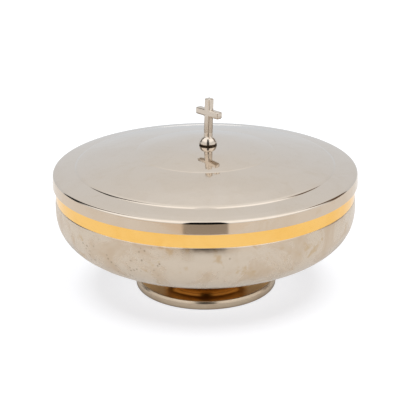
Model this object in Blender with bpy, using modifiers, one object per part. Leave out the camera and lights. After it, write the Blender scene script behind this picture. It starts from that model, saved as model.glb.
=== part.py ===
"""Low ciborium: hammered bowl, gilded inner cup, dished foot and a lift-off lid with a cross.

Units are metres, +Z is up, and the origin is on the turning axis at the face the foot stands on.
The front looks along -Y. Every turned piece shares the Z axis, and each piece is modelled from its
own lowest face and then placed at its height.
"""
import math

import bmesh
import bpy

MM = 0.001
GAP = 0.3 * MM  # clearance left between faces that touch on the real object

# Foot: a turned dish with an upright rim, standing on a narrow ring, raised in a hub at its centre.
FOOT_RADIUS = 37.8 * MM
FOOT_RIM_TOP = 3.9 * MM
FOOT_RIM_WALL = 1.1 * MM
FOOT_DISH_TOP = 1.4 * MM
FOOT_STAND_INNER = 33.0 * MM
FOOT_STAND_RISE = 0.4 * MM
FOOT_EDGE = 0.5 * MM
HUB_RADIUS = 20.2 * MM
HUB_TOP = 11.0 * MM
SHEET = 1.0 * MM

# Neck: the gilded ring that the bowl stands on.
NECK_RADIUS = 23.0 * MM
NECK_WALL = 2.4 * MM
BOWL_SEAT = 15.3 * MM
BOWL_SEAT_RADIUS = 24.0 * MM

# Bowl: a superellipse side that ends in a nearly upright wall.
BOWL_RADIUS = 79.4 * MM
BOWL_RIM_RADIUS = 79.8 * MM
BOWL_TURN = 46.7 * MM  # height where the curved side becomes the upright wall
BOWL_RIM_TOP = 51.4 * MM
BOWL_ROUNDNESS = 2.61
BOWL_WALL = 1.0 * MM

# Inner cup: follows the bowl inside it and stands above the rim as an upright collar.
CUP_WALL = 0.8 * MM
CUP_CLEARANCE = 0.4 * MM
COLLAR_RADIUS = 79.3 * MM
COLLAR_WALL = 1.0 * MM
COLLAR_TOP = 61.0 * MM

# Lid: a skirt that widens downwards, a rounded shoulder and a low dome in three stepped zones.
SKIRT_BOTTOM = 60.0 * MM
SKIRT_BOTTOM_RADIUS = 80.7 * MM
SKIRT_TOP_RADIUS = 80.4 * MM
SKIRT_TOP = 64.6 * MM
SKIRT_WALL = 0.8 * MM
SHOULDER_ROUND = 1.7 * MM  # radius of the turn from the skirt into the top
SHOULDER_HEIGHT = 66.2 * MM
OUTER_STEP_RADIUS = 68.5 * MM
OUTER_STEP_HEIGHT = 68.2 * MM
INNER_STEP_RADIUS = 36.0 * MM
INNER_STEP_HEIGHT = 74.7 * MM
STEP_RISE = 0.25 * MM
LID_TOP = 76.7 * MM
LID_SHEET = 0.8 * MM

# Ring under the lid: an angle that rests on the collar and drops inside it.
RING_CLEARANCE = 0.45 * MM
RING_WALL = 0.8 * MM
RING_DROP = 5.5 * MM

# Finial: a bell-shaped knob and a square-barred cross turned 45 degrees about the axis.
KNOB_RADIUS = 4.7 * MM
KNOB_WIDEST = 1.3 * MM  # height of the widest line above the knob's base
KNOB_DOME = 6.2 * MM  # height of the dome above its widest line
KNOB_NECK_ANGLE = 62.0  # degrees up the dome where the neck begins
KNOB_NECK_RADIUS = 2.2 * MM
KNOB_HEIGHT = 6.9 * MM
CROSS_BAR = 3.5 * MM
CROSS_TOP = 103.6 * MM
CROSS_ARM_HEIGHT = 95.75 * MM
CROSS_ARM_REACH = 8.2 * MM
CROSS_EDGE = 0.7 * MM
CROSS_TURN = math.radians(-45.0)
TENON_RADIUS = 0.9 * MM
TENON_LENGTH = 1.6 * MM

# Fasteners: an M6 stud under the cup and an M3 stud in the finial.
CUP_STUD_RADIUS = 3.0 * MM
CUP_STUD_HEAD_RADIUS = 10.0 * MM
CUP_STUD_HEAD = 2.0 * MM
CUP_STUD_END = 4.6 * MM
FOOT_WASHER = (7.0 * MM, 1.0 * MM)  # outer radius, thickness
FOOT_NUT = (10.0 * MM, 3.2 * MM)  # across flats, thickness
FINIAL_STUD_RADIUS = 1.5 * MM
FINIAL_STUD_BITE = 3.2 * MM
FINIAL_STUD_TAIL = 0.6 * MM
FINIAL_WASHER = (4.5 * MM, 0.8 * MM)
FINIAL_NUT = (5.5 * MM, 2.4 * MM)

BODY_SEGMENTS = 64
FOOT_SEGMENTS = 48
SMALL_SEGMENTS = 24
MERGE = 0.00001

NICKEL = ("nickel_plate", (0.62, 0.55, 0.47), 0.16)
HAMMERED_NICKEL = ("hammered_nickel_plate", (0.60, 0.52, 0.44), 0.24)
GILT = ("gilt_plate", (0.91, 0.58, 0.20), 0.12)
STEEL = ("plain_steel", (0.45, 0.44, 0.42), 0.38)


def clear_scene():
    """Remove everything that the scene starts with."""
    for obj in list(bpy.data.objects):
        bpy.data.objects.remove(obj, do_unlink=True)


def collection(name):
    """Make a collection in the scene."""
    made = bpy.data.collections.new(name)
    bpy.context.scene.collection.children.link(made)
    return made


def metal(name, finish):
    """Make a metallic material for one piece."""
    label, colour, roughness = finish
    made = bpy.data.materials.new(f"{name}_{label}")
    made.use_nodes = True
    shader = made.node_tree.nodes["Principled BSDF"]
    shader.inputs["Base Color"].default_value = (*colour, 1.0)
    shader.inputs["Metallic"].default_value = 1.0
    shader.inputs["Roughness"].default_value = roughness
    return made


def add_object(name, mesh, group, parent=None, base=0.0):
    """Link an object at a height on the axis, under its body's empty."""
    obj = bpy.data.objects.new(name, mesh)
    group.objects.link(obj)
    obj.parent = parent
    obj.location.z = base - (parent.location.z if parent else 0.0)
    return obj


def turned(name, outline, finish, body, base, segments, closed=True):
    """Turn an outline of (radius, height) points, which runs down its outer side, about Z."""
    mesh = bpy.data.meshes.new(name)
    last = len(outline) - 1
    edges = [(i, i + 1) for i in range(last)]
    if closed:
        edges.append((last, 0))
    mesh.from_pydata([(radius, 0.0, height - base) for radius, height in outline], edges, [])
    mesh.materials.append(metal(name, finish))
    obj = add_object(name, mesh, PARTS, body, base)
    screw = obj.modifiers.new("turn", "SCREW")
    screw.axis = "Z"
    screw.angle = math.tau
    screw.steps = segments
    screw.render_steps = segments
    screw.use_smooth_shade = True
    screw.use_merge_vertices = True
    screw.merge_threshold = MERGE
    return obj


def arc(centre, radii, start, end, steps):
    """Points on an ellipse's arc, with angles in degrees from +radius towards +height."""
    points = []
    for i in range(steps + 1):
        angle = math.radians(start + (end - start) * i / steps)
        points.append((centre[0] + radii[0] * math.cos(angle), centre[1] + radii[1] * math.sin(angle)))
    return points


def bowl_side(radius, depth, steps, stop_radius):
    """Superellipse from the upright wall at BOWL_TURN down to stop_radius near the axis."""
    power = 2.0 / BOWL_ROUNDNESS
    stop = math.acos((stop_radius / radius) ** (1.0 / power))
    points = []
    for i in range(steps + 1):
        angle = stop * i / steps
        points.append((radius * math.cos(angle) ** power, BOWL_TURN - depth * math.sin(angle) ** power))
    return points


def dome_zone(start, end, steps):
    """Parabolic stretch of the lid between two (radius, height) points, start being further in."""
    points = []
    for i in range(steps + 1):
        radius = start[0] + (end[0] - start[0]) * i / steps
        share = (radius**2 - start[0] ** 2) / (end[0] ** 2 - start[0] ** 2)
        points.append((radius, start[1] + (end[1] - start[1]) * share))
    return points


def lid_top_line(drop, steps):
    """The lid's upper surface from the axis to the shoulder, lowered by drop."""
    hole = (FINIAL_STUD_RADIUS + GAP, LID_TOP)
    inner_step = (INNER_STEP_RADIUS, INNER_STEP_HEIGHT)
    outer_step = (OUTER_STEP_RADIUS, OUTER_STEP_HEIGHT)
    shoulder = (SKIRT_TOP_RADIUS - SHOULDER_ROUND, SHOULDER_HEIGHT)
    zones = dome_zone(hole, (inner_step[0] - STEP_RISE, inner_step[1] + STEP_RISE), steps)
    zones += dome_zone(inner_step, (outer_step[0] - STEP_RISE, outer_step[1] + STEP_RISE), steps)
    zones += dome_zone(outer_step, shoulder, 1)
    return [(radius, height - drop) for radius, height in zones]


def make_foot(body):
    """Foot dish: upright rim, stand ring, dished floor and hub, open at the hub's hole."""
    rim_inner = FOOT_RADIUS - FOOT_RIM_WALL
    lip = FOOT_RIM_WALL / 2.0
    hole = CUP_STUD_RADIUS + GAP
    outline = arc((FOOT_RADIUS - lip, FOOT_RIM_TOP - lip), (lip, lip), 90.0, 0.0, 3)
    outline += arc((FOOT_RADIUS - FOOT_EDGE, FOOT_EDGE), (FOOT_EDGE, FOOT_EDGE), 0.0, -90.0, 2)
    outline += [
        (FOOT_STAND_INNER, 0.0),
        (FOOT_STAND_INNER - FOOT_STAND_RISE, FOOT_STAND_RISE),
        (HUB_RADIUS - SHEET + FOOT_EDGE, FOOT_STAND_RISE),
        (HUB_RADIUS - SHEET, FOOT_STAND_RISE + FOOT_EDGE),
        (HUB_RADIUS - SHEET, HUB_TOP - SHEET),
        (hole, HUB_TOP - SHEET),
        (hole, HUB_TOP),
        (HUB_RADIUS - FOOT_EDGE, HUB_TOP),
        (HUB_RADIUS, HUB_TOP - FOOT_EDGE),
        (HUB_RADIUS, FOOT_DISH_TOP),
    ]
    outline += arc((rim_inner - FOOT_EDGE, FOOT_DISH_TOP + FOOT_EDGE), (FOOT_EDGE, FOOT_EDGE), -90.0, 0.0, 2)
    outline += arc((FOOT_RADIUS - lip, FOOT_RIM_TOP - lip), (lip, lip), 180.0, 120.0, 2)
    return turned("foot_shell", outline, NICKEL, body, 0.0, FOOT_SEGMENTS)


def make_neck(body):
    """Neck collar between the foot's dish and the bowl's seat."""
    bottom = FOOT_DISH_TOP + GAP
    top = BOWL_SEAT - GAP
    inner = NECK_RADIUS - NECK_WALL
    outline = [
        (NECK_RADIUS, top),
        (NECK_RADIUS, bottom),
        (inner, bottom),
        (inner, top),
    ]
    return turned("neck_collar", outline, GILT, body, bottom, FOOT_SEGMENTS)


def make_bowl(body):
    """Outer bowl: one sheet from its rim down to the stud's hole, with a flat seat below."""
    hole = CUP_STUD_RADIUS + GAP
    depth = BOWL_TURN - BOWL_SEAT
    lip = BOWL_WALL / 2.0
    inner_wall = BOWL_RADIUS - BOWL_WALL
    outline = arc((BOWL_RIM_RADIUS - lip, BOWL_RIM_TOP - lip), (lip, lip), 90.0, 0.0, 2)
    outline += bowl_side(BOWL_RADIUS, depth, 10, BOWL_SEAT_RADIUS)[:-1]
    outline += [(BOWL_SEAT_RADIUS, BOWL_SEAT), (hole, BOWL_SEAT), (hole, BOWL_SEAT + BOWL_WALL)]
    inner_side = bowl_side(inner_wall, depth - BOWL_WALL, 7, BOWL_SEAT_RADIUS)
    outline += [(BOWL_SEAT_RADIUS, BOWL_SEAT + BOWL_WALL)] + inner_side[-2::-1]
    outline += [(inner_wall, BOWL_RIM_TOP)]
    return turned("bowl_shell", outline, HAMMERED_NICKEL, body, BOWL_SEAT, BODY_SEGMENTS)


def make_cup(body):
    """Inner cup: closed at the bottom, its collar stepped out to sit on the bowl's rim."""
    outer = BOWL_RADIUS - BOWL_WALL - CUP_CLEARANCE
    inner = outer - CUP_WALL
    under = cup_underside()
    step = BOWL_RIM_TOP + GAP
    collar_inner = COLLAR_RADIUS - COLLAR_WALL
    outline = [(0.0, under + CUP_WALL)]
    outline += bowl_side(inner, BOWL_TURN - under - CUP_WALL, 7, BOWL_SEAT_RADIUS / 2.0)[::-1]
    outline += [
        (inner, step),
        (collar_inner, step + COLLAR_WALL),
        (collar_inner, COLLAR_TOP),
        (COLLAR_RADIUS, COLLAR_TOP),
        (COLLAR_RADIUS, step),
        (outer, step),
    ]
    outline += bowl_side(outer, BOWL_TURN - under, 7, BOWL_SEAT_RADIUS / 2.0)
    outline += [(0.0, under)]
    return turned("inner_cup", outline, GILT, body, under, BODY_SEGMENTS, closed=False)


def cup_underside():
    """Height of the cup's underside, which clears the stud's head on the bowl's floor."""
    return BOWL_SEAT + BOWL_WALL + GAP + CUP_STUD_HEAD + GAP


def make_cup_stud(body):
    """Stud under the cup, with the wide head that spreads the pull on the bowl's floor."""
    head_bottom = BOWL_SEAT + BOWL_WALL + GAP
    outline = [
        (0.0, head_bottom + CUP_STUD_HEAD),
        (CUP_STUD_HEAD_RADIUS, head_bottom + CUP_STUD_HEAD),
        (CUP_STUD_HEAD_RADIUS, head_bottom),
        (CUP_STUD_RADIUS, head_bottom),
        (CUP_STUD_RADIUS, CUP_STUD_END + FOOT_EDGE),
        (CUP_STUD_RADIUS - FOOT_EDGE, CUP_STUD_END),
        (0.0, CUP_STUD_END),
    ]
    return turned("cup_stud", outline, STEEL, body, CUP_STUD_END, SMALL_SEGMENTS, closed=False)


def make_washer(name, size, hole, top, body):
    """Flat washer whose upper face is at top."""
    outer, thickness = size
    bottom = top - thickness
    outline = [(outer, top), (outer, bottom), (hole, bottom), (hole, top)]
    return turned(name, outline, STEEL, body, bottom, SMALL_SEGMENTS)


def make_nut(name, size, hole, top, body):
    """Hexagon nut with a plain bore, its upper face at top."""
    across_flats, thickness = size
    corner = across_flats / math.sqrt(3.0)
    mesh = prism(name, corner, thickness, 6)
    mesh.materials.append(metal(name, STEEL))
    nut = add_object(name, mesh, PARTS, body, top - thickness / 2.0)
    cutter = add_object(f"{name}_bore", prism(f"{name}_bore", hole, 2.0 * thickness, SMALL_SEGMENTS),
                        CUTTERS, body, top - thickness / 2.0)
    cutter.hide_render = True
    cutter.display_type = "WIRE"
    bore = nut.modifiers.new("bore", "BOOLEAN")
    bore.operation = "DIFFERENCE"
    bore.solver = "EXACT"
    bore.object = cutter
    return nut


def prism(name, radius, height, sides):
    """Closed prism about Z, centred on its own origin."""
    shape = bmesh.new()
    bmesh.ops.create_cone(shape, cap_ends=True, segments=sides, radius1=radius, radius2=radius, depth=height)
    mesh = bpy.data.meshes.new(name)
    shape.to_mesh(mesh)
    shape.free()
    return mesh


def make_lid(body):
    """Lid sheet: skirt, shoulder, stepped dome and the finial's hole."""
    inner_top = SKIRT_TOP_RADIUS - SKIRT_WALL
    shoulder_inner = SHOULDER_HEIGHT - LID_SHEET
    turn = (SKIRT_TOP_RADIUS - SHOULDER_ROUND, SKIRT_TOP)
    outline = lid_top_line(0.0, 4)
    outline += arc(turn, (SHOULDER_ROUND, SHOULDER_HEIGHT - SKIRT_TOP), 60.0, 0.0, 3)
    outline += [
        (SKIRT_BOTTOM_RADIUS, SKIRT_BOTTOM),
        (SKIRT_BOTTOM_RADIUS - SKIRT_WALL, SKIRT_BOTTOM),
        (inner_top, shoulder_inner - SHOULDER_ROUND / 2.0),
        (inner_top - SHOULDER_ROUND / 2.0, shoulder_inner),
    ]
    outline += lid_top_line(LID_SHEET, 2)[-2::-1]
    return turned("lid_shell", outline, NICKEL, body, SKIRT_BOTTOM, BODY_SEGMENTS)


def make_locating_ring(body):
    """Angle ring soldered in the skirt: its flange rests on the collar, its leg drops inside."""
    flange_bottom = COLLAR_TOP + GAP
    leg_outer = COLLAR_RADIUS - COLLAR_WALL - RING_CLEARANCE
    leg_inner = leg_outer - RING_WALL
    flange_outer = SKIRT_TOP_RADIUS - SKIRT_WALL - GAP
    leg_bottom = COLLAR_TOP - RING_DROP
    outline = [
        (flange_outer, flange_bottom + RING_WALL),
        (flange_outer, flange_bottom),
        (leg_outer, flange_bottom),
        (leg_outer, leg_bottom),
        (leg_inner, leg_bottom),
        (leg_inner, flange_bottom + RING_WALL),
    ]
    return turned("lid_locating_ring", outline, GILT, body, leg_bottom, BODY_SEGMENTS)


def make_knob(body):
    """Bell-shaped knob, bored from below for the stud and from above for the cross's tenon."""
    base = LID_TOP + GAP
    stud_bore = FINIAL_STUD_RADIUS + GAP
    tenon_bore = TENON_RADIUS + GAP
    bore_step = base + FINIAL_STUD_BITE + GAP
    widest = base + KNOB_WIDEST
    edge = KNOB_RADIUS - KNOB_WIDEST
    outline = [(KNOB_NECK_RADIUS, base + KNOB_HEIGHT)]
    outline += arc((0.0, widest), (KNOB_RADIUS, KNOB_DOME), KNOB_NECK_ANGLE, 0.0, 5)
    outline += arc((edge, widest), (KNOB_WIDEST, KNOB_WIDEST), -30.0, -90.0, 2)
    outline += [
        (stud_bore, base),
        (stud_bore, bore_step),
        (tenon_bore, bore_step),
        (tenon_bore, base + KNOB_HEIGHT),
    ]
    return turned("finial_knob", outline, NICKEL, body, base, SMALL_SEGMENTS)


def bar(size, centre):
    """Square-edged bar as its own mesh object among the cutters."""
    shape = bmesh.new()
    bmesh.ops.create_cube(shape, size=1.0)
    bmesh.ops.scale(shape, vec=size, verts=shape.verts)
    bmesh.ops.translate(shape, vec=centre, verts=shape.verts)
    mesh = bpy.data.meshes.new("cross_bar")
    shape.to_mesh(mesh)
    shape.free()
    return mesh


def add_union(obj, mesh, name, body, base):
    """Join another closed mesh to obj with a Boolean union."""
    helper = add_object(name, mesh, CUTTERS, body, base)
    helper.rotation_euler.z = CROSS_TURN
    helper.hide_render = True
    helper.display_type = "WIRE"
    union = obj.modifiers.new(name, "BOOLEAN")
    union.operation = "UNION"
    union.solver = "EXACT"
    union.object = helper


def make_cross(body):
    """Latin cross of two square bars with eased edges, and the tenon that enters the knob."""
    foot = LID_TOP + GAP + KNOB_HEIGHT + GAP
    height = CROSS_TOP - foot
    arm_height = CROSS_ARM_HEIGHT - foot
    upright = bar((CROSS_BAR, CROSS_BAR, height), (0.0, 0.0, height / 2.0))
    upright.materials.append(metal("finial_cross", NICKEL))
    cross = add_object("finial_cross", upright, PARTS, body, foot)
    cross.rotation_euler.z = CROSS_TURN
    arms = bar((2.0 * CROSS_ARM_REACH, CROSS_BAR, CROSS_BAR), (0.0, 0.0, arm_height))
    add_union(cross, arms, "cross_arms", body, foot)
    ease = cross.modifiers.new("ease", "BEVEL")
    ease.width = CROSS_EDGE
    ease.segments = 2
    ease.limit_method = "ANGLE"
    add_union(cross, prism("cross_tenon", TENON_RADIUS, 2.0 * TENON_LENGTH, SMALL_SEGMENTS),
              "cross_tenon", body, foot)
    return cross


def make_finial_stud(body):
    """Threaded stud from inside the knob, through the lid, to below its nut."""
    top = LID_TOP + GAP + FINIAL_STUD_BITE
    bottom = finial_nut_top() - FINIAL_NUT[1] - FINIAL_STUD_TAIL
    outline = [
        (0.0, top),
        (FINIAL_STUD_RADIUS, top),
        (FINIAL_STUD_RADIUS, bottom),
        (0.0, bottom),
    ]
    return turned("finial_stud", outline, STEEL, body, bottom, SMALL_SEGMENTS, closed=False)


def finial_washer_top():
    """Height of the lid's underside at the finial, less the clearance."""
    return LID_TOP - LID_SHEET - GAP


def finial_nut_top():
    """Height of the finial nut's upper face, under its washer."""
    return finial_washer_top() - FINIAL_WASHER[1] - GAP


def body_empty(name, height):
    """Empty on the turning axis that carries one body's pieces."""
    empty = add_object(name, None, PARTS, base=height)
    empty.empty_display_size = 0.02
    return empty


def build():
    """Make every piece under the body that it moves with."""
    vessel = body_empty("vessel", 0.0)
    lid_ring = body_empty("lid_ring", COLLAR_TOP)
    lid = body_empty("lid", COLLAR_TOP)
    foot_washer_top = HUB_TOP - SHEET - GAP
    foot_nut_top = foot_washer_top - FOOT_WASHER[1] - GAP

    make_foot(vessel)
    make_neck(vessel)
    make_bowl(vessel)
    make_cup(vessel)
    make_cup_stud(vessel)
    make_washer("foot_washer", FOOT_WASHER, CUP_STUD_RADIUS + GAP, foot_washer_top, vessel)
    make_nut("foot_nut", FOOT_NUT, CUP_STUD_RADIUS + GAP, foot_nut_top, vessel)

    make_locating_ring(lid_ring)

    make_lid(lid)
    make_knob(lid)
    make_cross(lid)
    make_finial_stud(lid)
    make_washer("finial_washer", FINIAL_WASHER, FINIAL_STUD_RADIUS + GAP, finial_washer_top(), lid)
    make_nut("finial_nut", FINIAL_NUT, FINIAL_STUD_RADIUS + GAP, finial_nut_top(), lid)


clear_scene()
PARTS = collection("ciborium")
CUTTERS = collection("cutters")
build()
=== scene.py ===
import math
import random

import bmesh
import bpy
from mathutils import Matrix, Vector
from mathutils.kdtree import KDTree


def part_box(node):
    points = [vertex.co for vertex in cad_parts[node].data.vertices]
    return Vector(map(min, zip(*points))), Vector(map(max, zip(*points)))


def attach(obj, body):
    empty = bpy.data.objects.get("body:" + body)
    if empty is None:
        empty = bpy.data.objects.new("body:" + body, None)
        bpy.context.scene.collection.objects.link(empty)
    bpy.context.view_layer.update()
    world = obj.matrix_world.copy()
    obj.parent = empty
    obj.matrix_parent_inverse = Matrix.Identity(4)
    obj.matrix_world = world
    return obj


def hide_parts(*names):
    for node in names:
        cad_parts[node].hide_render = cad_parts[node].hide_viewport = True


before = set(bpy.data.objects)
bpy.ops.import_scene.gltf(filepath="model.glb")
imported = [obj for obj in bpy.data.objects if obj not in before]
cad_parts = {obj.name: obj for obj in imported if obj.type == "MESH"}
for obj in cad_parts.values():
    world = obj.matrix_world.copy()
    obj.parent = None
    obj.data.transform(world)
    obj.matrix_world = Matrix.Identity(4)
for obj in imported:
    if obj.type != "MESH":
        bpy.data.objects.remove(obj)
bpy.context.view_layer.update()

MM = 0.001
BIG_SEGMENTS = 384  # sides of the large turned pieces
FINE = 0.12 * MM  # small round on a machined edge
ROUND_STEPS = 9  # steps per radian of a rounded corner
STRAIGHT = 0.02  # corners that turn less than this, in radians, are not rounded
TRIM_SHARE = 0.8  # share of a neighbouring stretch that a round may take
LONG_STRETCH = 1.2 * MM  # a straight stretch longer than this is kept flat by a point near each end
HOLD = 0.12 * MM  # how near
SAME_POINT = 1e-7  # points nearer each other than this are one
ON_AXIS = 1e-6  # a radius below this is a point on the axis

# Camera, in metres and degrees: it looks at a point on the axis from the front.
LOOK_AT = 0.045
CAMERA_DISTANCE = 0.590
CAMERA_ELEVATION = 20.8
CAMERA_ROLL = -0.44
CAMERA_LENS = 98.8
CAMERA_SENSOR = 36.0
CAMERA_SHIFT = (-0.0134, 0.0070)


# ---------------------------------------------------------------- outlines

def reach(node):
    """Outer radius of a CAD node."""
    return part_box(node)[1].x


def base(node):
    """Height of a CAD node's lowest face."""
    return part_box(node)[0].z


def top(node):
    """Height of a CAD node's highest face."""
    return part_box(node)[1].z


def corner_arc(before, corner, after, size):
    """Points that turn one corner of an outline on an arc of the given radius."""
    into = (corner - before).normalized()
    out = (after - corner).normalized()
    turn = into.angle(out, 0.0)
    if turn < STRAIGHT or size <= 0.0:
        return [corner]
    room = min((corner - before).length, (after - corner).length)
    trim = min(size * math.tan(turn / 2.0), TRIM_SHARE * room)
    radius = trim / math.tan(turn / 2.0)
    start = corner - into * trim
    inward = (out - into * math.cos(turn)).normalized()
    steps = max(3, math.ceil(ROUND_STEPS * turn))
    angles = [turn * i / steps for i in range(steps + 1)]
    return [start + into * radius * math.sin(a) + inward * radius * (1.0 - math.cos(a)) for a in angles]


def hold_flat(points):
    """Add a point near each end of every long straight stretch, and drop repeated points."""
    held = [points[0]]
    for behind, point in zip(points, points[1:]):
        length = (point - behind).length
        if length > LONG_STRETCH:
            held += [behind.lerp(point, HOLD / length), behind.lerp(point, 1.0 - HOLD / length)]
        if length > SAME_POINT:
            held.append(point)
    return held


def outline(corners, closed=True):
    """Smooth outline through (radius, height, round) corners, which run down the outer side."""
    flat = [Vector(c[:2]) for c in corners]
    points = []
    for i, corner in enumerate(corners):
        if not closed and i in (0, len(corners) - 1):
            points.append(flat[i])
            continue
        after = flat[(i + 1) % len(flat)]
        points += corner_arc(flat[i - 1], flat[i], after, corner[2] if len(corner) > 2 else 0.0)
    if closed:
        return hold_flat(points + points[:1])[:-1]
    return hold_flat(points)


def link(name, mesh):
    """Mesh object in the scene."""
    obj = bpy.data.objects.new(name, mesh)
    bpy.context.scene.collection.objects.link(obj)
    return obj


def turned(name, points, segments, closed=True, relief=None):
    """Mesh object of an outline turned about Z, its surface moved along its normals by relief."""
    count = len(points)
    rings = []
    for j, point in enumerate(points):
        ahead = points[(j + 1) % count] if closed or j + 1 < count else point
        behind = points[j - 1] if closed or j > 0 else point
        along = (ahead - behind).normalized()
        rings.append((point, Vector((-along.y, along.x))))
    verts = []
    index = []
    for point, normal in rings:
        on_axis = point.x < ON_AXIS
        row = []
        for i in range(1 if on_axis else segments):
            angle = math.tau * i / segments
            place = Vector((point.x * math.cos(angle), point.x * math.sin(angle), point.y))
            if relief:
                out = Vector((normal.x * math.cos(angle), normal.x * math.sin(angle), normal.y))
                place += out * relief(place, point, normal)
            row.append(len(verts))
            verts.append(place)
        index.append(row * segments if on_axis else row)
    faces = []
    for j in range(count if closed else count - 1):
        low, high = index[(j + 1) % count], index[j]
        for i in range(segments):
            k = (i + 1) % segments
            face = (high[i], low[i], low[k], high[k])
            faces.append(tuple(dict.fromkeys(face)))
    mesh = bpy.data.meshes.new(name)
    mesh.from_pydata(verts, [], faces)
    mesh.validate()
    mesh.shade_smooth()
    return link(name, mesh)


ANGLE_SCATTER = 0.28  # how far marks stray, as a share of their pitch
PLACE_SCATTER = 0.22
STEADY = 0.3  # share of the straying kept across the sheet, where it is nearly upright or nearly flat
UPRIGHT_OUTSIDE = 78.0 * MM
FLAT_WITHIN = 60.0 * MM
SHALLOWEST = 0.5  # depth of the shallowest mark, as a share of the deepest
MARK_RADIUS = 0.82  # as a share of the pitch
MARKS_NEAR = 3  # marks that may overlap at one place


def hammer_marks(points, lowest, highest, pitch, depth, seed):
    """Relief of shallow round dents, laid in rings along the part of an outline between two heights."""
    rng = random.Random(seed)
    centres = []
    travelled = 0.0
    for behind, point in zip(points, points[1:]):
        travelled += (point - behind).length
        if travelled < pitch or not lowest < point.y < highest:
            continue
        travelled = 0.0
        count = max(1, round(math.tau * point.x / pitch))
        phase = rng.random()
        radius_stray = pitch * (STEADY if point.x > UPRIGHT_OUTSIDE else 1.0)
        height_stray = pitch * (STEADY if point.x < FLAT_WITHIN else 1.0)
        for i in range(count):
            angle = math.tau * (i + phase + rng.uniform(-ANGLE_SCATTER, ANGLE_SCATTER)) / count
            radius = point.x + rng.uniform(-PLACE_SCATTER, PLACE_SCATTER) * radius_stray
            height = point.y + rng.uniform(-PLACE_SCATTER, PLACE_SCATTER) * height_stray
            centre = (radius * math.cos(angle), radius * math.sin(angle), height)
            centres.append((centre, rng.uniform(SHALLOWEST, 1.0)))
    tree = KDTree(len(centres))
    for i, (centre, _) in enumerate(centres):
        tree.insert(centre, i)
    tree.balance()

    def relief(place, _point, _normal):
        sunk = 0.0
        for _, i, distance in tree.find_n(place, MARKS_NEAR):
            share = 1.0 - (distance / (MARK_RADIUS * pitch)) ** 2
            if share > 0.0:
                sunk = max(sunk, depth * centres[i][1] * share)
        return -sunk

    return relief


# ---------------------------------------------------------------- materials

class Graph:
    """Small helper that adds and joins shader nodes."""

    def __init__(self, tree):
        self.tree = tree

    def node(self, kind, **settings):
        """New node with the given properties."""
        made = self.tree.nodes.new(kind)
        for key, value in settings.items():
            setattr(made, key, value)
        return made

    def feed(self, socket, value):
        """Join a socket to the input, or set the input to a value."""
        if isinstance(value, bpy.types.NodeSocket):
            self.tree.links.new(value, socket)
        elif value is not None:
            socket.default_value = value

    def math(self, operation, first, second=None):
        """Output of a math node."""
        made = self.node("ShaderNodeMath", operation=operation)
        for socket, value in zip(made.inputs, (first, second)):
            self.feed(socket, value)
        return made.outputs[0]

    def span(self, value, low, high, to_low=0.0, to_high=1.0):
        """Smooth step from to_low at low to to_high at high."""
        made = self.node("ShaderNodeMapRange", interpolation_type="SMOOTHSTEP")
        for socket, number in zip(made.inputs, (value, low, high, to_low, to_high)):
            self.feed(socket, number)
        return made.outputs[0]

    def split(self, vector):
        """The three parts of a vector."""
        made = self.node("ShaderNodeSeparateXYZ")
        self.feed(made.inputs[0], vector)
        return made.outputs

    def length(self, vector):
        """Length of a vector."""
        made = self.node("ShaderNodeVectorMath", operation="LENGTH")
        self.feed(made.inputs[0], vector)
        return made.outputs["Value"]

    def noise(self, where, scale, detail=2.0, roughness=0.5, distortion=0.0):
        """Noise between 0 and 1."""
        made = self.node("ShaderNodeTexNoise")
        self.feed(made.inputs["Vector"], where)
        made.inputs["Scale"].default_value = scale
        made.inputs["Detail"].default_value = detail
        made.inputs["Roughness"].default_value = roughness
        made.inputs["Distortion"].default_value = distortion
        return made.outputs["Fac"]

    def ramp(self, value, stops):
        """Colour ramp through (position, colour) stops; a colour may be one grey number."""
        made = self.node("ShaderNodeValToRGB")
        self.feed(made.inputs["Fac"], value)
        while len(made.color_ramp.elements) < len(stops):
            made.color_ramp.elements.new(0.5)
        for element, (position, colour) in zip(made.color_ramp.elements, stops):
            element.position = position
            element.color = (*((colour,) * 3 if isinstance(colour, float) else colour), 1.0)
        return made.outputs["Color"]

    def mix(self, share, first, second):
        """Colour between two colours."""
        made = self.node("ShaderNodeMix", data_type="RGBA")
        self.feed(made.inputs["Factor"], share)
        for socket, colour in ((made.inputs["A"], first), (made.inputs["B"], second)):
            self.feed(socket, colour if isinstance(colour, bpy.types.NodeSocket) else (*colour, 1.0))
        return made.outputs["Result"]


# Scales of the patterns, in repeats a metre.
CLOUDS = 55.0
PATCHES = 140.0
PITS = 360.0
WORN_AREAS = 38.0
TURNING_MARKS = 2600.0
GRAIN = 900.0
CLOUD_ROUGHNESS = 0.10  # roughness that the clouds and the turning lines add at their strongest
LINE_ROUGHNESS = 0.05
BUMP_DISTANCE = 0.02 * MM
PIT_COLOUR = (0.16, 0.11, 0.06)
PIT_EDGE = (0.10, 0.26)  # distance from its middle over which a pit fades, as a share of the pattern
WORN_SIDE = (0.03, -0.05)  # from clean to worn, along x
WORN_EXTRA = 0.16  # what the worn side adds to the noise that places the worn areas
WORN_EDGE = (0.60, 0.70)  # the noise at the edge of a worn area


def pitted(graph, where, colour, strength):
    """Scatter dark specks over a colour, more of them on the worn left side."""
    pits = graph.node("ShaderNodeTexVoronoi", feature="F1")
    graph.feed(pits.inputs["Vector"], where)
    pits.inputs["Scale"].default_value = PITS
    near = graph.span(pits.outputs["Distance"], *PIT_EDGE, 1.0, 0.0)
    worn_side = graph.span(graph.split(where)[0], *WORN_SIDE, 0.0, WORN_EXTRA)
    area = graph.span(graph.math("ADD", graph.noise(where, WORN_AREAS), worn_side), *WORN_EDGE)
    share = graph.math("MULTIPLY", graph.math("MULTIPLY", near, area), strength)
    return graph.mix(share, colour, PIT_COLOUR)


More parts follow.
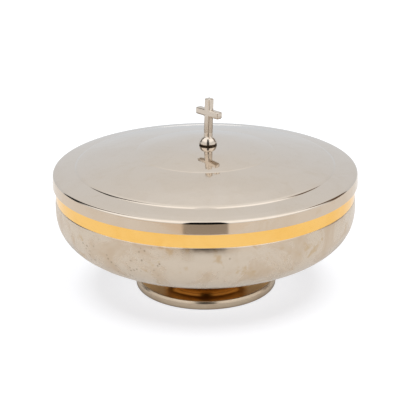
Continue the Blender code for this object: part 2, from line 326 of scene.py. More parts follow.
def turning_lines(graph, where):
    """Noise that follows the radius and height only, like the lines a lathe tool leaves."""
    across, depth, up = graph.split(where)
    squares = [graph.math("POWER", side, 2.0) for side in (across, depth)]
    ring = graph.node("ShaderNodeCombineXYZ")
    graph.feed(ring.inputs[0], graph.math("SQRT", graph.math("ADD", *squares)))
    graph.feed(ring.inputs[2], up)
    return graph.noise(ring.outputs[0], TURNING_MARKS, 2.0, 0.7)


def plated(name, colours, roughness, cloud, lines, bump, specks=0.0):
    """Plated metal. colours are its clear, clouded and stained tones; cloud and lines set how much the
    plating's clouds and the fine turning lines show in its roughness and bump."""
    made = bpy.data.materials.new(name)
    made.use_nodes = True
    graph = Graph(made.node_tree)
    shader = made.node_tree.nodes["Principled BSDF"]
    shader.inputs["Metallic"].default_value = 1.0
    where = graph.node("ShaderNodeTexCoord").outputs["Object"]
    clear, clouded, stained = colours

    clouds = graph.noise(where, CLOUDS, 4.0, 0.6, 0.6)
    patches = graph.noise(where, PATCHES, 3.0, 0.55, 0.3)
    colour = graph.mix(graph.span(clouds, 0.42, 0.68), clear, clouded)
    colour = graph.mix(graph.math("MULTIPLY", graph.span(patches, 0.56, 0.72), cloud), colour, stained)
    if specks:
        colour = pitted(graph, where, colour, specks)
    graph.feed(shader.inputs["Base Color"], colour)

    turning = turning_lines(graph, where)
    rough = graph.span(clouds, 0.3, 0.75, roughness, roughness + CLOUD_ROUGHNESS * cloud)
    rough = graph.math("ADD", rough, graph.math("MULTIPLY", turning, LINE_ROUGHNESS * lines))
    graph.feed(shader.inputs["Roughness"], rough)

    grain = graph.noise(where, GRAIN, 3.0, 0.6)
    height = graph.math("ADD", graph.math("MULTIPLY", turning, lines), graph.math("MULTIPLY", grain, cloud))
    dent = graph.node("ShaderNodeBump")
    dent.inputs["Strength"].default_value = bump
    dent.inputs["Distance"].default_value = BUMP_DISTANCE
    graph.feed(dent.inputs["Height"], height)
    graph.feed(shader.inputs["Normal"], dent.outputs["Normal"])
    return made


# Clear, clouded and stained tones of each metal.
NICKEL_TONES = ((0.665, 0.590, 0.510), (0.650, 0.570, 0.485), (0.62, 0.53, 0.43))
HAMMERED_TONES = ((0.635, 0.545, 0.445), (0.575, 0.460, 0.345), (0.56, 0.43, 0.29))
FOOT_TONES = ((0.62, 0.51, 0.39), (0.58, 0.46, 0.34), (0.50, 0.38, 0.26))
# Painted shade: dark tones that stand in for the shadow under the knob's lower edge.
KNOB_SHADE_TONES = ((0.09, 0.065, 0.045), (0.05, 0.035, 0.025), (0.03, 0.02, 0.012))
GILT_TONES = ((0.950, 0.580, 0.175), (0.930, 0.545, 0.145), (0.900, 0.500, 0.120))
# Painted shade: gilt darkened to stand in for the shade under the bowl, used on the neck and in the foot's
# dish.
SHADED_GILT_TONES = ((0.565, 0.330, 0.112), (0.54, 0.31, 0.10), (0.50, 0.28, 0.085))
# Painted shade: the lid's skirt is the same sheet as its top, given darker, warmer tones to match how it
# looks where it mirrors the table.
SKIRT_SHADED_TONES = ((0.640, 0.530, 0.420), (0.620, 0.505, 0.390), (0.60, 0.47, 0.34))
STEEL_TONES = ((0.52, 0.50, 0.47), (0.46, 0.44, 0.41), (0.38, 0.34, 0.30))

# Painted shade for the lid's skirt.
SKIRT_SHADED_NICKEL = plated("skirt_shaded_nickel_plate", SKIRT_SHADED_TONES, roughness=0.045, cloud=0.5, lines=0.4, bump=0.15)
FOOT_NICKEL = plated("foot_nickel_plate", FOOT_TONES, roughness=0.22, cloud=0.4, lines=0.6, bump=0.2)
FINIAL_NICKEL = plated("finial_nickel_plate", NICKEL_TONES, roughness=0.15, cloud=0.5, lines=0.3, bump=0.2)
CROSS_NICKEL = plated("cross_nickel_plate", NICKEL_TONES, roughness=0.24, cloud=0.5, lines=0.3, bump=0.3)
# Painted shade for the knob's underside.
KNOB_SHADE = plated("knob_painted_shade", KNOB_SHADE_TONES, roughness=0.4, cloud=1.0, lines=0.3, bump=0.5)
LID_NICKEL = plated("lid_nickel_plate", NICKEL_TONES, roughness=0.035, cloud=0.3, lines=0.5, bump=0.12)
HAMMERED = plated("hammered_nickel_plate", HAMMERED_TONES, roughness=0.22, cloud=1.0, lines=0.15, bump=0.35,
                  specks=0.5)
GILT = plated("gilt_plate", GILT_TONES, roughness=0.07, cloud=0.3, lines=0.6, bump=0.15)
# Painted shade: the neck's and the dish's darkened gilt.
NECK_SHADED_GILT = plated("neck_shaded_gilt_plate", SHADED_GILT_TONES, roughness=0.10, cloud=0.4, lines=0.6, bump=0.2)
DISH_SHADED_GILT = plated("dish_shaded_gilt_plate", SHADED_GILT_TONES, roughness=0.27, cloud=0.4, lines=0.6, bump=0.2)
STEEL = plated("turned_steel", STEEL_TONES, roughness=0.30, cloud=0.6, lines=1.0, bump=0.5)


def add(piece, body, slot, materials, *nodes):
    """Give a piece its materials and its body, and hide the CAD nodes it stands for. slot is not used."""
    for material in materials:
        piece.data.materials.append(material)
    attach(piece, body)
    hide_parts(*nodes)
    return piece


def paint(piece, is_second):
    """Give the second material to the faces that pass the test, and the first to the others."""
    for polygon in piece.data.polygons:
        polygon.material_index = 1 if is_second(polygon) else 0


# ---------------------------------------------------------------- vessel

BOWL_WALL = 1.0 * MM
BOWL_ROUNDNESS = 2.54  # power of the superellipse its side follows
BOWL_TURN = 46.7 * MM  # height at which its side stands upright
BOWL_SEAT = 24.0 * MM  # radius of its flat seat
BOWL_MARK = 5.2 * MM  # pitch of its hammer marks
BOWL_MARK_DEPTH = 0.115 * MM
MARKS_FADE = (1.4 * MM, 2.0 * MM)  # height above the CAD's rim where the marks end, and how far they fade
BOWL_LIP = 22.0 * MM  # radius of the arc on which its rim rolls in
LIP_ANGLES = (77.5, 90.0)  # degrees of that arc
LIP_STEPS = 8
LIP_DROP = 3.8 * MM  # the arc's centre below the CAD's rim
RIM_WIDTH = 1.4 * MM
RIM_RISE = 0.96 * MM  # the rim above the CAD's rim, which closes the gap below the cup's collar
STUD_HOLE = 3.3 * MM  # radius of the hole for the M6 stud
CUP_WALL = 0.8 * MM
CUP_GAP = 0.4 * MM  # between bowl and cup
CUP_FLOOR = 12.0 * MM  # radius of its flat floor
COLLAR_WALL = 1.0 * MM
COLLAR_RISE = 0.9 * MM  # the collar's foot above the CAD's bowl rim


def superellipse(radius, depth, stop_radius, steps):
    """Side of the bowl or the cup, from its upright wall down to stop_radius."""
    power = 2.0 / BOWL_ROUNDNESS
    stop = math.acos((stop_radius / radius) ** (1.0 / power))
    points = []
    for i in range(steps + 1):
        angle = stop * i / steps
        points.append((radius * math.cos(angle) ** power, BOWL_TURN - depth * math.sin(angle) ** power))
    return points


def make_bowl():
    """Planished bowl with a rolled rim, hammered all over its outside."""
    rim, seat, rim_top = reach("bowl_shell"), base("bowl_shell"), top("bowl_shell")
    side = superellipse(rim, BOWL_TURN - seat, BOWL_SEAT, steps=110)[:-1]
    inside = superellipse(rim - RIM_WIDTH, BOWL_TURN - seat - BOWL_WALL, BOWL_SEAT, steps=40)[:-1]
    corners = [(rim - RIM_WIDTH, rim_top + RIM_RISE, 0.2 * MM)]
    for i in range(LIP_STEPS + 1):
        angle = math.radians(LIP_ANGLES[0] + (LIP_ANGLES[1] - LIP_ANGLES[0]) * i / LIP_STEPS)
        height = rim_top - LIP_DROP + BOWL_LIP * math.cos(angle)
        corners.append((rim - BOWL_LIP * (1.0 - math.sin(angle)), height))
    corners += side
    corners += [
        (BOWL_SEAT, seat, FINE),
        (STUD_HOLE, seat, FINE),
        (STUD_HOLE, seat + BOWL_WALL, FINE),
        (BOWL_SEAT, seat + BOWL_WALL),
    ]
    corners += inside[::-1]
    points = outline(corners)
    outer = points[:points.index(min(points, key=lambda p: p.y)) + 1]
    marks = hammer_marks(outer, seat + 0.2 * MM, rim_top - 0.4 * MM, BOWL_MARK, BOWL_MARK_DEPTH, seed=7)
    fade_top = rim_top + MARKS_FADE[0]

    def relief(place, point, normal):
        if point.x < BOWL_SEAT or not (normal.x > 0.0 or normal.y < -0.2):
            return 0.0
        return marks(place, point, normal) * min(1.0, max(0.0, (fade_top - point.y) / MARKS_FADE[1]))

    bowl = turned("bowl", points, BIG_SEGMENTS * 2, relief=relief)
    add(bowl, "vessel", "hammered_nickel", [HAMMERED], "bowl_shell")


def make_cup():
    """Gilded inner cup whose collar is the gold band under the lid."""
    collar, under, collar_top = reach("inner_cup"), base("inner_cup"), top("inner_cup")
    step = top("bowl_shell") + COLLAR_RISE
    outer = reach("bowl_shell") - CUP_GAP - BOWL_WALL - CUP_GAP
    inner = outer - CUP_WALL
    collar_inner = collar - COLLAR_WALL
    inside = superellipse(inner, BOWL_TURN - under - CUP_WALL, CUP_FLOOR, steps=70)
    outside = superellipse(outer, BOWL_TURN - under, CUP_FLOOR, steps=40)
    corners = [(0.0, under + CUP_WALL)] + inside[::-1]
    corners += [
        (inner, step, 0.5 * MM),
        (collar_inner, step + 1.0 * MM, 0.5 * MM),
        (collar_inner, collar_top, 0.35 * MM),
        (collar, collar_top, 0.35 * MM),
        (collar, step, FINE),
        (outer, step, FINE),
    ]
    corners += outside + [(0.0, under)]
    cup = turned("cup", outline(corners, closed=False), BIG_SEGMENTS, closed=False)
    add(cup, "vessel", "gilt", [GILT], "inner_cup")


# Steps out from the neck's drum, and their heights, in millimetres.
NECK_FLARE = ((0.0, 1.9), (0.03, 2.4), (0.1, 2.9), (0.22, 3.4), (0.4, 3.9), (0.62, 4.4), (0.85, 4.9),
              (1.0, 5.6))
NECK_WALL = 2.4 * MM
DRUM_INSET = 1.0 * MM
NECK_SEATING = 0.28 * MM  # closes the CAD's gap between neck and foot


def make_neck():
    """Gilded neck: a plain drum that flares under the bowl, in a darkened gilt that paints in the shade
    under the bowl.
    """
    radius, low, high = reach("neck_collar"), base("neck_collar") - NECK_SEATING, top("neck_collar")
    inner = radius - NECK_WALL
    drum = radius - DRUM_INSET
    flare = [(drum + out * MM, height * MM) for out, height in NECK_FLARE]
    corners = [(radius, high, FINE)] + flare[::-1]
    corners += [
        (drum, low, FINE),
        (inner, low, FINE),
        (inner, high, FINE),
    ]
    neck = turned("neck", outline(corners), BIG_SEGMENTS // 2)
    add(neck, "vessel", "gilt", [NECK_SHADED_GILT], "neck_collar")


FOOT_GROWTH = 0.5 * MM  # the rim beyond the CAD's, as the photograph shows it
FOOT_RIM_TOP = 4.6 * MM
FOOT_RIM_WALL = 1.7 * MM
FOOT_LIP = (0.62 * MM, 1.35 * MM)  # width and height of the slant outside its top
GILDED_FROM = 0.7  # where the gilding starts across its top, as a share of its wall
FOOT_SHEET = 1.0 * MM
FOOT_BEARING = (32.6 * MM, 33.0 * MM)  # radii between which the foot steps down to the ring it stands on
FOOT_RECESS = 0.4 * MM  # height of its underside above the table
DISH = 1.4 * MM  # height of the dish's floor
HUB = 20.2 * MM


def make_foot():
    """Foot dish: nickel outside and underneath, gilded inside its rim in a darkened gilt that paints in the
    shade under the bowl.
    """
    radius, hub_top = reach("foot_shell") + FOOT_GROWTH, top("foot_shell")
    hub_inner, hub_under = HUB - FOOT_SHEET, hub_top - FOOT_SHEET
    rim_inner = radius - FOOT_RIM_WALL
    corners = [
        (radius - FOOT_LIP[0], FOOT_RIM_TOP, 0.45 * MM),
        (radius, FOOT_RIM_TOP - FOOT_LIP[1], 0.8 * MM),
        (radius, 0.0, 0.5 * MM),
        (FOOT_BEARING[1], 0.0, 0.2 * MM),
        (FOOT_BEARING[0], FOOT_RECESS, 0.2 * MM),
        (hub_inner, FOOT_RECESS, 0.6 * MM),
        (hub_inner, hub_under, 0.5 * MM),
        (STUD_HOLE, hub_under, FINE),
        (STUD_HOLE, hub_top, FINE),
        (HUB, hub_top, 0.6 * MM),
        (HUB, DISH, 0.3 * MM),
        (rim_inner, DISH, 0.5 * MM),
        (rim_inner, FOOT_RIM_TOP, 0.3 * MM),
    ]
    foot = turned("foot", outline(corners), BIG_SEGMENTS)
    add(foot, "vessel", "nickel", [FOOT_NICKEL, DISH_SHADED_GILT], "foot_shell")
    lip = radius - GILDED_FROM * FOOT_RIM_WALL
    hub_middle, sheet_middle = HUB - 0.5 * FOOT_SHEET, hub_top - 0.5 * FOOT_SHEET

    def is_gilded(face):
        out = math.hypot(*face.center[:2])
        underneath = out < hub_middle and face.center.z < sheet_middle
        return out < lip and face.normal.z > -0.3 and face.center.z > 1.2 * MM and not underneath

    paint(foot, is_gilded)


# ---------------------------------------------------------------- lid

LID_SHEET = 0.8 * MM
LID_MARK = 6.5 * MM  # pitch of the lid's faint hammer marks
LID_MARK_DEPTH = 0.048 * MM
LID_MARKED = (68.6 * MM, 74.9 * MM)  # heights between which they lie
INNER_FADE = (36.5 * MM, 3.0 * MM)  # radius at which they end beside each step, and how far they fade
OUTER_FADE = (68.0 * MM, 2.0 * MM)
SHOULDER_ROUND = 1.7 * MM
SHOULDER_INSET = 0.37 * MM
SKIRT_DROP = 0.6 * MM  # the skirt's edge below the CAD's
INNER_STEP = (36.0 * MM, 74.65 * MM)  # radius and height of the foot of each step
OUTER_STEP = (68.6 * MM, 67.98 * MM)
RIM_END = (76.2 * MM, 66.68 * MM)
RIM_SLOPE = 0.205  # fall of the smooth rim at the shoulder, and of the crown at the inner step
CROWN_SLOPES = ((24.0 * MM, 0.155), (9.5 * MM, 0.0), (1.8 * MM, 0.0))  # (radius, slope) further in


def dome(start, end, steps):
    """Parabolic stretch of the lid's top between two (radius, height) points, start further in."""
    points = []
    for i in range(steps + 1):
        radius = start[0] + (end[0] - start[0]) * i / steps
        share = (radius**2 - start[0] ** 2) / (end[0] ** 2 - start[0] ** 2)
        points.append((radius, start[1] + (end[1] - start[1]) * share))
    return points


def roll(foot, slopes, radii, steps):
    """Rounded fall of the lid's top that ends at its foot, as arcs between slopes given in degrees."""
    points = []
    radius, height = 0.0, 0.0
    for low, high, size in zip(slopes, slopes[1:], radii):
        for i in range(0 if not points else 1, steps + 1):
            angle = math.radians(low + (high - low) * i / steps)
            points.append((radius + size * (math.sin(angle) - math.sin(math.radians(low))),
                           height - size * (math.cos(math.radians(low)) - math.cos(angle))))
        radius, height = points[-1]
    return [(foot[0] + r - radius, foot[1] + z - height) for r, z in points]


def crown(outer, slopes, steps):
    """Domed middle of the lid in from its inner step, its slope following (radius, slope) stops."""
    points = [outer]
    for (far, far_slope), (near, near_slope) in zip(slopes, slopes[1:]):
        for i in range(steps):
            middle = (i + 0.5) / steps
            slope = far_slope + (near_slope - far_slope) * middle
            run = (far - near) / steps
            points.append((points[-1][0] - run, points[-1][1] + run * slope))
    return points[::-1]


def lid_top_line(steps):
    """Top surface from the finial's hole out to the smooth rim, with its two soft steps."""
    inner = roll(INNER_STEP, (11.6, 34.0), (1.0 * MM,), steps=6)
    outer = roll(OUTER_STEP, (13.0, 30.0, 50.0), (4.0 * MM, 2.6 * MM), steps=8)
    line = crown(inner[0], ((inner[0][0], RIM_SLOPE), *CROWN_SLOPES), steps=12)[:-1]
    line += inner + dome(inner[-1], outer[0], steps)[1:-1] + outer
    line += dome(outer[-1], RIM_END, steps // 3)[1:]
    return line


def make_lid():
    """Stepped lid: nickel outside, gilded inside, faintly planished between its steps; its skirt has
    painted shade, a darker, warmer copy of the same nickel.
    """
    low, skirt = base("lid_shell") - SKIRT_DROP, reach("lid_shell")
    upper = lid_top_line(steps=60)
    edge = skirt - SHOULDER_INSET
    shoulder = (edge, upper[-1][1] - RIM_SLOPE * (edge - upper[-1][0]))
    corners = list(upper)
    corners += [
        (*shoulder, SHOULDER_ROUND),
        (skirt, low, 0.25 * MM),
        (skirt - LID_SHEET, low, 0.25 * MM),
        (shoulder[0] - LID_SHEET, shoulder[1] - LID_SHEET, 1.0 * MM),
    ]
    corners += [(radius, height - LID_SHEET) for radius, height in reversed(lid_top_line(steps=24))]
    top_points = [Vector(p) for p in upper]
    marks = hammer_marks(top_points, *LID_MARKED, LID_MARK, LID_MARK_DEPTH, seed=3)

    def relief(place, point, normal):
        if normal.y < 0.5:
            return 0.0
        inner = min(1.0, max(0.0, (point.x - INNER_FADE[0]) / INNER_FADE[1]))
        outer = min(1.0, max(0.0, (OUTER_FADE[0] - point.x) / OUTER_FADE[1]))
        return marks(place, point, normal) * inner * outer

    lid = turned("lid_cover", outline(corners), BIG_SEGMENTS * 2, relief=relief)
    add(lid, "lid", "nickel", [LID_NICKEL, GILT, SKIRT_SHADED_NICKEL], "lid_shell")
    inner_wall = skirt - 0.5 * LID_SHEET

    def is_inside(face):
        out = math.hypot(*face.center[:2])
        facing_in = face.normal.xy.dot(face.center.xy) < -0.5 * out and out < inner_wall
        facing_down = face.normal.z < -0.4
        return facing_down and face.center.z > low + MM or facing_in and face.center.z > low + 0.2 * MM

    paint(lid, is_inside)
    # Painted shade: faces below the shoulder take the skirt's darker copy of the nickel.
    skirt_top = shoulder[1] - 0.9 * MM
    for face in lid.data.polygons:
        if face.material_index == 0 and face.center.z < skirt_top:
            face.material_index = 2


RING_SHEET = 0.8 * MM
RING_PLAY = 1.45 * MM  # the leg's outside inward of the cup's collar


def make_ring():
    """Gilded locating ring inside the lid."""
    node = "lid_locating_ring"
    outer, low, high = reach(node), base(node), top(node)
    flange = high - RING_SHEET
    leg = reach("inner_cup") - RING_PLAY
    corners = [
        (outer, high, FINE),
        (outer, flange, FINE),
        (leg, flange, 0.2 * MM),
        (leg, low, 0.35 * MM),
        (leg - RING_SHEET, low, 0.35 * MM),
        (leg - RING_SHEET, high, FINE),
    ]
    ring = turned("lid_ring", outline(corners), BIG_SEGMENTS)
    add(ring, "lid_ring", "gilt", [GILT], node)


# ---------------------------------------------------------------- finial

FINIAL_SHIFT = 1.6 * MM  # the finial stands a little off the axis and leans with it
FINIAL_LEAN = math.radians(1.9)
FINIAL_RISE = 0.75 * MM  # it stands higher than the CAD's, on the higher crown
KNOB_WIDEST = 0.65 * MM  # above the knob's foot
KNOB_DOME = 5.0 * MM
KNOB_NECK = 60.0  # angle up the dome, in degrees, at which the neck begins
KNOB_STEPS = 29
KNOB_NECK_RADIUS = 2.3 * MM
KNOB_SHADE_TOP = 3.0 * MM  # no painted shade higher than this above the knob's foot


def lean(piece):
    """Stand a finial piece slightly off the axis and out of plumb."""
    foot = Vector((0.0, 0.0, base("finial_knob")))
    tilt = Matrix.Rotation(FINIAL_LEAN, 4, "Y")
    stand = Matrix.Translation(foot + Vector((FINIAL_SHIFT, 0.0, FINIAL_RISE)))
    piece.data.transform(stand @ tilt @ Matrix.Translation(-foot))


def make_knob():
    """Bell-shaped knob under the cross, with painted shade round its lower edge: a dark material on its
    underside stands in for the shadow there.
    """
    node = "finial_knob"
    radius, low, high = reach(node), base(node), top(node)
    widest = low + KNOB_WIDEST
    corners = [
        (0.0, high),
        (KNOB_NECK_RADIUS, high, FINE),
        (KNOB_NECK_RADIUS + 0.05 * MM, low + 5.1 * MM, 0.8 * MM),
    ]
    for i in range(KNOB_STEPS + 1):
        angle = math.radians(KNOB_NECK * (1.0 - i / KNOB_STEPS))
        corners.append((radius * math.cos(angle), widest + KNOB_DOME * math.sin(angle)))
    corners += [
        (radius - 0.1 * MM, low + 0.35 * MM, 0.25 * MM),
        (radius - 1.2 * MM, low, 0.3 * MM),
        (0.0, low),
    ]
    knob = turned("knob", outline(corners, closed=False), segments=96, closed=False)
    lean(knob)
    add(knob, "lid", "nickel", [FINIAL_NICKEL, KNOB_SHADE], node)
    # Painted shade: the downward-facing faces near the knob's foot take the dark material.
    paint(knob, lambda face: face.normal.z < 0.08 and face.center.z < low + KNOB_SHADE_TOP)


def box_object(name, size, centre):
    """Plain box mesh object, to be joined and eased."""
    shape = bmesh.new()
    bmesh.ops.create_cube(shape, size=1.0)
    bmesh.ops.scale(shape, vec=size, verts=shape.verts)
    bmesh.ops.translate(shape, vec=centre, verts=shape.verts)
    mesh = bpy.data.meshes.new(name)
    shape.to_mesh(mesh)
    shape.free()
    return link(name, mesh)


CROSS_BAR = 3.75 * MM
CROSS_ROOT = 1.2 * MM  # how far its foot stands in the knob
ARM_HEIGHT = 94.5 * MM
ARM_REACH = 8.1 * MM
CROSS_TOP_DROP = 1.3 * MM  # its top below the CAD's, which leaves room for the finial's rise
CROSS_EDGE = 0.85 * MM
CROSS_TURN = math.radians(-45.0)


def make_cross():
    """Cross of two square bars, their ends and edges worn round."""
    node = "finial_cross"
    foot, tip = top("finial_knob") - CROSS_ROOT, top(node) - CROSS_TOP_DROP
    upright_size = (CROSS_BAR, CROSS_BAR, tip - foot)
    cross = box_object("cross", upright_size, (0.0, 0.0, (tip + foot) / 2.0))
    arms = box_object("cross_arms", (2.0 * ARM_REACH, CROSS_BAR, CROSS_BAR), (0.0, 0.0, ARM_HEIGHT))
    union = cross.modifiers.new("arms", "BOOLEAN")
    union.operation = "UNION"
    union.object = arms
    ease = cross.modifiers.new("ease", "BEVEL")
    ease.width = CROSS_EDGE
    ease.segments = 6
    ease.limit_method = "ANGLE"
    bpy.context.view_layer.update()
    evaluated = cross.evaluated_get(bpy.context.evaluated_depsgraph_get())
    finished = bpy.data.meshes.new_from_object(evaluated)
    cross.modifiers.clear()
    cross.data = finished
    bpy.data.objects.remove(arms)
    cross.data.transform(Matrix.Rotation(CROSS_TURN, 4, "Z"))
    cross.data.shade_smooth()
    lean(cross)
    add(cross, "lid", "nickel", [CROSS_NICKEL], node)


# ---------------------------------------------------------------- fasteners

THREAD_DEPTH = 0.3  # as a share of the pitch
THREAD_SAMPLES = 8  # rings a turn
NUT_CHAMFER = math.radians(30.0)
NUT_CIRCLE = 0.94  # the flat face's circle, as a share of the width across flats
NUT_SEGMENTS = 120
SHARP = math.radians(20.0)


def thread(pitch, depth, low, high):
    """Relief of a screw thread cut into a shank between two heights."""

    def relief(place, point, normal):
        if normal.x < 0.5 or not low < point.y < high:
            return 0.0
        turn = (place.z / pitch - math.atan2(place.y, place.x) / math.tau) % 1.0
        return -depth * abs(2.0 * turn - 1.0)

    return relief


def make_stud(node, name, body, pitch, head=None):
    """Threaded stud with chamfered ends. With a wide flat head, head gives the shank's radius and top."""
    low, high = base(node), top(node)
    shank, shank_top = head if head else (reach(node), high)
    steps = round((shank_top - low) / (pitch / THREAD_SAMPLES))
    side = [(shank, shank_top + (low + 0.5 * MM - shank_top) * i / steps) for i in range(steps + 1)]
    corners = [(0.0, high)]
    if head:
        corners += [(reach(node), high, 0.3 * MM), (reach(node), shank_top, 0.3 * MM)]
    else:
        corners += [(shank - 0.3 * MM, high)]
    corners += side + [(shank - 0.5 * MM, low, FINE), (0.0, low)]
    relief = thread(pitch, THREAD_DEPTH * pitch, low, shank_top - 0.3 * MM)
    stud = turned(name, outline(corners, closed=False), segments=72, closed=False, relief=relief)
    add(stud, body, "steel", [STEEL], node)


def make_washer(node, name, body, bore):
    """Flat washer with eased edges."""
    radius, low, high = reach(node), base(node), top(node)
    corners = [(radius, high, 0.2 * MM), (radius, low, 0.2 * MM), (bore, low, FINE), (bore, high, FINE)]
    washer = turned(name, outline(corners), segments=128)
    add(washer, body, "steel", [STEEL], node)


def make_nut(node, name, body, flats, bore):
    """Hexagon nut whose corners are chamfered at both ends and whose bore is countersunk."""
    low, high = base(node), top(node)
    circle = NUT_CIRCLE * flats / 2.0
    sink = 0.4 * MM
    verts = []
    faces = []
    for i in range(NUT_SEGMENTS):
        angle = math.tau * i / NUT_SEGMENTS
        side = flats / 2.0 / math.cos((angle + math.pi / 6.0) % (math.pi / 3.0) - math.pi / 6.0)
        drop = (side - circle) * math.tan(NUT_CHAMFER)
        ring = [
            (bore, low + sink),
            (bore, high - sink),
            (bore + sink, high),
            (circle, high),
            (side, high - drop),
            (side, low + drop),
            (circle, low),
            (bore + sink, low),
        ]
        verts += [(r * math.cos(angle), r * math.sin(angle), z) for r, z in ring]
        here, there = len(ring) * i, len(ring) * ((i + 1) % NUT_SEGMENTS)
        for j in range(len(ring)):
            k = (j + 1) % len(ring)
            faces.append((here + j, here + k, there + k, there + j))
    mesh = bpy.data.meshes.new(name)
    mesh.from_pydata(verts, [], faces)
    mesh.validate()
    mesh.shade_smooth()
    mesh.set_sharp_from_angle(angle=SHARP)
    add(link(name, mesh), body, "steel", [STEEL], node)


def make_fasteners():
    """Studs, washers and nuts that hold the vessel and the finial together."""
    make_stud("cup_stud", "bowl_stud", "vessel", pitch=1.0 * MM, head=(3.0 * MM, 16.6 * MM))
    make_washer("foot_washer", "bowl_washer", "vessel", bore=STUD_HOLE)
    make_nut("foot_nut", "bowl_nut", "vessel", flats=10.0 * MM, bore=3.02 * MM)
    make_stud("finial_stud", "cross_stud", "lid", pitch=0.5 * MM)
    make_washer("finial_washer", "cross_washer", "lid", bore=1.8 * MM)
    make_nut("finial_nut", "cross_nut", "lid", flats=5.5 * MM, bore=1.52 * MM)


# ---------------------------------------------------------------- studio

FLOOR_FRONT = -0.275
FLOOR_BACK = 0.6
FLOOR_REACH = 2.5
FLOOR_SINK = 0.1 * MM
FOOT_EDGE = (0.0370, 0.0425)  # radii between which the table's light starts outside the foot
LIT = (0.52, 0.46)  # diffuse colour and glow of the table as the metal sees it
SEEN = (0.48, 0.69)  # the same as the camera sees it
BACK_SHADE = 0.85  # share of the light the bowl keeps off the table behind the foot
BEHIND = (-0.005, 0.02)  # depths over which that shade comes in
SHADE_END = (0.07, 0.12)  # radii over which it ends
SHADOW = ((0.040, 0.010), (0.050, 0.090), (0.0545, 0.110), (0.060, 0.060), (0.068, 0.0))  # (radius, loss)
SHADOW_WIDTH = 0.93  # squeezes x, which makes the shadow a little wider than deep
RAMP_SCALE = 10.0  # brings the shadow's radii, in metres, into a colour ramp's range
WHITE = (1.0, 1.0, 1.0)
COOL_WHITE = (0.985, 1.0, 1.04)


def floor_shade(graph):
    """Glow of the table as the metal sees it and as the camera sees it, which has a soft oval shadow."""
    where = graph.node("ShaderNodeTexCoord").outputs["Object"]
    radius = graph.length(where)
    behind = graph.span(graph.split(where)[1], *BEHIND)
    near = graph.span(radius, *SHADE_END, 1.0, 0.0)
    shade = graph.math("MULTIPLY", graph.math("MULTIPLY", behind, near), BACK_SHADE)
    clear = graph.math("MULTIPLY", graph.span(radius, *FOOT_EDGE), graph.math("SUBTRACT", 1.0, shade))
    squeeze = graph.node("ShaderNodeVectorMath", operation="MULTIPLY")
    graph.feed(squeeze.inputs[0], where)
    squeeze.inputs[1].default_value = (SHADOW_WIDTH, 1.0, 1.0)
    oval_radius = graph.math("MULTIPLY", graph.length(squeeze.outputs[0]), RAMP_SCALE)
    taken = graph.ramp(oval_radius, [(RAMP_SCALE * r, loss) for r, loss in SHADOW])
    return graph.math("MULTIPLY", clear, LIT[1]), graph.math("SUBTRACT", SEEN[1], taken)


def white_tabletop():
    """White matt material that glows a little as well as taking the tent's light."""
    made = bpy.data.materials.new("white_tabletop")
    made.use_nodes = True
    graph = Graph(made.node_tree)
    made.node_tree.nodes.remove(made.node_tree.nodes["Principled BSDF"])
    lit_glow, seen_glow = floor_shade(graph)
    branches = []
    for spread, tint, strength in ((LIT[0], WHITE, lit_glow), (SEEN[0], COOL_WHITE, seen_glow)):
        diffuse = graph.node("ShaderNodeBsdfDiffuse")
        diffuse.inputs["Color"].default_value = (spread, spread, spread, 1.0)
        glow = graph.node("ShaderNodeEmission")
        glow.inputs["Color"].default_value = (*tint, 1.0)
        graph.feed(glow.inputs["Strength"], strength)
        both = graph.node("ShaderNodeAddShader")
        graph.feed(both.inputs[0], diffuse.outputs[0])
        graph.feed(both.inputs[1], glow.outputs[0])
        branches.append(both.outputs[0])
    either = graph.node("ShaderNodeMixShader")
    graph.feed(either.inputs[0], graph.node("ShaderNodeLightPath").outputs["Is Camera Ray"])
    graph.feed(either.inputs[1], branches[0])
    graph.feed(either.inputs[2], branches[1])
    graph.feed(made.node_tree.nodes["Material Output"].inputs["Surface"], either.outputs[0])
    return made


def make_floor():
    """Pale tabletop. Its front edge lies nearer the camera than the part of it in the photograph's view."""
    shape = bmesh.new()
    corners = [
        (-FLOOR_REACH, FLOOR_FRONT),
        (FLOOR_REACH, FLOOR_FRONT),
        (FLOOR_REACH, FLOOR_BACK),
        (-FLOOR_REACH, FLOOR_BACK),
    ]
    shape.faces.new([shape.verts.new((x, y, -FLOOR_SINK)) for x, y in corners])
    mesh = bpy.data.meshes.new("tabletop")
    shape.to_mesh(mesh)
    shape.free()
    mesh.materials.append(white_tabletop())
    link("tabletop", mesh)


BRIGHTEST = 2.0  # strength of the tent; colours in its ramps are shares of it


def by_elevation(graph, elevation, stops):
    """Light that follows the elevation in degrees, through (elevation, colour) stops."""
    share = graph.math("DIVIDE", graph.math("ADD", elevation, 90.0), 180.0)
    scaled = []
    for angle, light in stops:
        colour = light if isinstance(light, tuple) else (light, light, light)
        scaled.append(((angle + 90.0) / 180.0, tuple(part / BRIGHTEST for part in colour)))
    return graph.ramp(share, scaled)


# Light of each part of the tent, as (elevation in degrees, light) stops.
WARM_GREY = (0.43, 0.385, 0.34)
BROWN = (0.16, 0.10, 0.06)
CEILING = (90, 1.15)
SIDE_PANEL = [(18, 0.80), (24, 1.25), (34, 1.45), (78, 1.45), CEILING]
FRONT = [(-90, WARM_GREY), (-6, WARM_GREY), (-3, 0.01), (61, 0.008), (66, 0.95), (76, 1.05), CEILING]
LEFT = [(-90, (0.93, 0.84, 0.74)), (-8, (0.93, 0.82, 0.71)), (6, 0.95)] + SIDE_PANEL
RIGHT = [(-90, (0.98, 0.93, 0.86)), (-8, (1.0, 0.94, 0.88)), (6, 1.0)] + SIDE_PANEL
LEFT_GAP = [(-90, 0.6), (-5, 0.3), (5, 0.03), (58, 0.02), (64, 0.45), (70, 0.85), (78, 1.2), CEILING]
RIGHT_GAP = [(-90, 0.6), (-5, 0.3), (5, BROWN), (44, BROWN), (52, 0.8), (60, 1.2), CEILING]
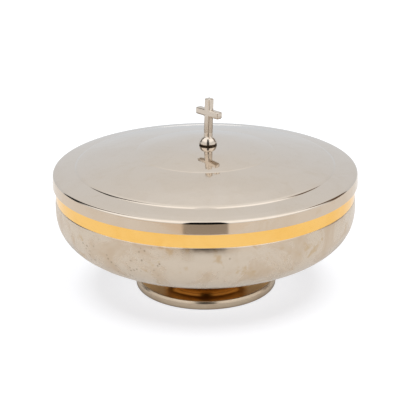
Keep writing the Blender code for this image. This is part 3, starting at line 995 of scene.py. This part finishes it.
BACKDROP = [(-90, 0.6), (-8, (0.69, 0.73, 0.77)), (2, (0.77, 0.80, 0.84)), (20, (0.82, 0.84, 0.87)),
            (38, 0.88), (44, 0.95), (50, 1.03), (60, 1.1), CEILING]
PARTS = (FRONT, LEFT, RIGHT, LEFT_GAP, RIGHT_GAP, BACKDROP)

# Angles from the front, in degrees, between which one part of the tent gives way to the next.
FRONT_TO_SIDE = (15.0, 17.0)
SIDE_TO_GAP = (95.0, 107.0)
GAP_TO_BACKDROP = (121.0, 125.0)
SEEN_BACKGROUND = (0.65, 0.65, 0.65)


def make_light():
    """Light tent around the object: side panels, a backdrop, a top panel and the gaps between them."""
    world = bpy.data.worlds.new("light_tent")
    bpy.context.scene.world = world
    world.use_nodes = True
    graph = Graph(world.node_tree)
    across, depth, up = graph.split(graph.node("ShaderNodeTexCoord").outputs["Generated"])
    azimuth = graph.math("ARCTAN2", graph.math("ABSOLUTE", across), graph.math("MULTIPLY", depth, -1.0))
    azimuth = graph.math("DEGREES", azimuth)
    elevation = graph.math("DEGREES", graph.math("ARCSINE", up))
    on_right = graph.math("GREATER_THAN", across, 0.0)

    front, left, right, left_gap, right_gap, backdrop = (by_elevation(graph, elevation, p) for p in PARTS)
    side = graph.mix(on_right, left, right)
    gap = graph.mix(on_right, left_gap, right_gap)
    light = graph.mix(graph.span(azimuth, *FRONT_TO_SIDE), front, side)
    light = graph.mix(graph.span(azimuth, *SIDE_TO_GAP), light, gap)
    light = graph.mix(graph.span(azimuth, *GAP_TO_BACKDROP), light, backdrop)
    seen = graph.node("ShaderNodeLightPath").outputs["Is Camera Ray"]
    light = graph.mix(seen, light, SEEN_BACKGROUND)
    surround = world.node_tree.nodes["Background"]
    surround.inputs["Strength"].default_value = BRIGHTEST
    graph.feed(surround.inputs["Color"], light)


def make_camera():
    """Camera at the height and distance of a product shot, looking at the axis."""
    data = bpy.data.cameras.new("camera")
    data.lens = CAMERA_LENS
    data.sensor_width = CAMERA_SENSOR
    data.shift_x, data.shift_y = CAMERA_SHIFT
    camera = bpy.data.objects.new("camera", data)
    bpy.context.scene.collection.objects.link(camera)
    tilt = math.radians(CAMERA_ELEVATION)
    camera.location = (0.0, -CAMERA_DISTANCE * math.cos(tilt), LOOK_AT + CAMERA_DISTANCE * math.sin(tilt))
    aim = Matrix.Rotation(math.radians(90.0) - tilt, 4, "X")
    camera.rotation_euler = (aim @ Matrix.Rotation(math.radians(CAMERA_ROLL), 4, "Z")).to_euler()
    bpy.context.scene.camera = camera


make_bowl()
make_cup()
make_neck()
make_foot()
make_lid()
make_ring()
make_knob()
make_cross()
make_fasteners()
make_floor()
make_light()
make_camera()
bpy.context.scene.view_settings.view_transform = "Standard"
